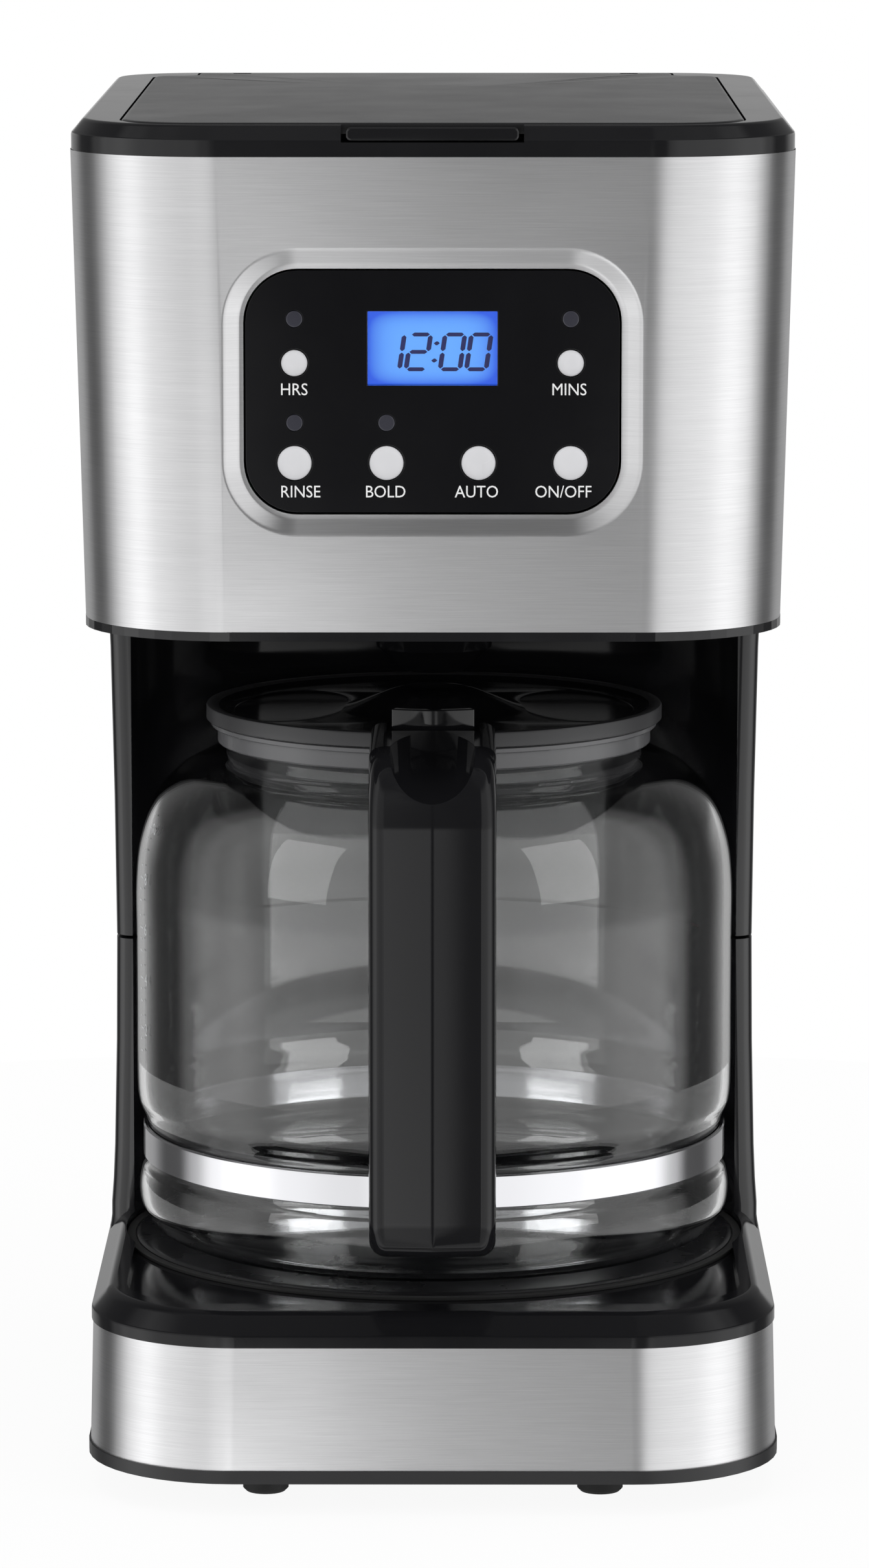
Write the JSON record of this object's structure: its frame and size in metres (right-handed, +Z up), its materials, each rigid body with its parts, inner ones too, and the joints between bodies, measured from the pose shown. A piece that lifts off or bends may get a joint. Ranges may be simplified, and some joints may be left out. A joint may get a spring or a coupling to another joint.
{
  "type": "drip coffee maker",
  "caption": "Programmable drip coffee maker with a steel-wrapped head over a glass carafe on a warming plate; its lid, keys, basket and carafe move.",
  "frame": {"origin": "on the table, under the middle of the part's box", "axes": "+Z up, -Y is the front with the control panel, +X to the right seen from the front"},
  "size_m": [0.177, 0.2504, 0.343],
  "materials": {
    "rubber": "matt black rubber",
    "black_plastic": "glossy black moulded plastic",
    "satin_black_plastic": "satin black moulded plastic",
    "brushed_steel": "horizontally brushed stainless steel",
    "chrome": "polished chrome",
    "dark_steel": "dark non-stick coating on steel",
    "aluminium": "cast aluminium",
    "steel_screws": "zinc-plated steel",
    "circuit_green": "circuit board with solder mask",
    "silicone": "translucent silicone hose",
    "clear_plastic": "natural polypropylene",
    "smoke_plastic": "translucent smoke plastic",
    "clear_window": "clear display window",
    "display_blue": "backlit blue display",
    "light_red": "tinted light lens",
    "silver_key": "pearl silver key",
    "gold_mesh": "gold-tone mesh filter",
    "seal_orange": "silicone seal",
    "clear_glass": "clear borosilicate glass",
    "red_wire": "silicone-sleeved wires"
  },
  "bodies": {
    "machine": {"rubber_feet": "rubber", "base_pan": "satin_black_plastic", "base_band": "brushed_steel", "base_deck": "black_plastic", "warming_plate": "dark_steel", "plate_gasket": "rubber", "heater_tube": "aluminium", "thermostat": "steel_screws", "thermal_fuses": "steel_screws", "column_lower": "black_plastic", "column_upper": "black_plastic", "rear_cover": "satin_black_plastic", "cord_gland": "rubber", "power_board": "circuit_green", "check_valve": "clear_plastic", "inlet_hose": "silicone", "outlet_hose": "silicone", "water_tank": "smoke_plastic", "tank_grommet": "seal_orange", "riser_tube": "clear_plastic", "head_tray": "satin_black_plastic", "basket_well": "satin_black_plastic", "head_band": "brushed_steel", "top_frame": "satin_black_plastic", "control_panel": "black_plastic", "lcd_window": "clear_window", "lcd_module": "display_blue", "indicator_lights": "light_red", "control_board": "circuit_green", "tact_switches": "satin_black_plastic", "wire_harness": "red_wire", "housing_screws": "steel_screws", "hinge_pins": "steel_screws"},
    "shower": {"shower_arm": "satin_black_plastic", "shower_head": "satin_black_plastic"},
    "top_lid": {"lid": "satin_black_plastic"},
    "basket": {"brew_basket": "satin_black_plastic"},
    "filter": {"permanent_filter": "gold_mesh"},
    "valve": {"drip_valve": "satin_black_plastic", "valve_seal": "seal_orange", "valve_spring": "steel_screws"},
    "carafe": {"carafe_glass": "clear_glass", "carafe_band": "chrome", "carafe_collar": "satin_black_plastic", "carafe_handle": "black_plastic", "handle_screw": "steel_screws", "carafe_hinge_pin": "steel_screws"},
    "carafe_cover": {"carafe_lid": "black_plastic", "thumb_lever": "black_plastic"},
    "key_hour": {"button_hour": "silver_key"},
    "key_minute": {"button_minute": "silver_key"},
    "key_rinse": {"button_rinse": "silver_key"},
    "key_bold": {"button_bold": "silver_key"},
    "key_auto": {"button_auto": "silver_key"},
    "key_power": {"button_power": "silver_key"}
  },
  "joints": [
    {"name": "top_lid_hinge", "type": "hinge", "parent": "machine", "child": "top_lid", "pos_m": [0, 0.11275, 0.3364], "axis": [-1, 0, 0], "range_deg": [0, 95]},
    {"name": "shower_swivel", "type": "hinge", "parent": "machine", "child": "shower", "pos_m": [0.048, 0.08575, 0.325], "axis": [0, 0, -1], "range_deg": [0, 52]},
    {"name": "basket_lift", "type": "slide", "parent": "machine", "child": "basket", "axis": [0, 0, 1], "range_m": [0, 0.014]},
    {"name": "filter_lift", "type": "slide", "parent": "basket", "child": "filter", "axis": [0, 0, 1], "range_m": [0, 0.009]},
    {"name": "drip_valve_slide", "type": "slide", "parent": "basket", "child": "valve", "axis": [0, 0, 1], "range_m": [-0.003, 0], "deforming": ["valve_spring"]},
    {"name": "carafe_slide", "type": "slide", "parent": "machine", "child": "carafe", "axis": [0, -0.9979, 0.0645], "range_m": [0, 0.2]},
    {"name": "carafe_lid_hinge", "type": "hinge", "parent": "carafe", "child": "carafe_cover", "pos_m": [0, -0.07225, 0.1865], "axis": [1, 0, 0], "range_deg": [0, 2.5]},
    {"name": "press_hour", "type": "slide", "parent": "machine", "child": "key_hour", "axis": [0, 1, 0], "range_m": [0, 0.001], "stiffness_N_per_m": 400},
    {"name": "press_minute", "type": "slide", "parent": "machine", "child": "key_minute", "axis": [0, 1, 0], "range_m": [0, 0.001], "stiffness_N_per_m": 400},
    {"name": "press_rinse", "type": "slide", "parent": "machine", "child": "key_rinse", "axis": [0, 1, 0], "range_m": [0, 0.001], "stiffness_N_per_m": 400},
    {"name": "press_bold", "type": "slide", "parent": "machine", "child": "key_bold", "axis": [0, 1, 0], "range_m": [0, 0.001], "stiffness_N_per_m": 400},
    {"name": "press_auto", "type": "slide", "parent": "machine", "child": "key_auto", "axis": [0, 1, 0], "range_m": [0, 0.001], "stiffness_N_per_m": 400},
    {"name": "press_power", "type": "slide", "parent": "machine", "child": "key_power", "axis": [0, 1, 0], "range_m": [0, 0.001], "stiffness_N_per_m": 400}
  ],
  "couplings": [
    {"joint": "drip_valve_slide", "follows": "carafe_slide", "ratio": -0.015}
  ]
}
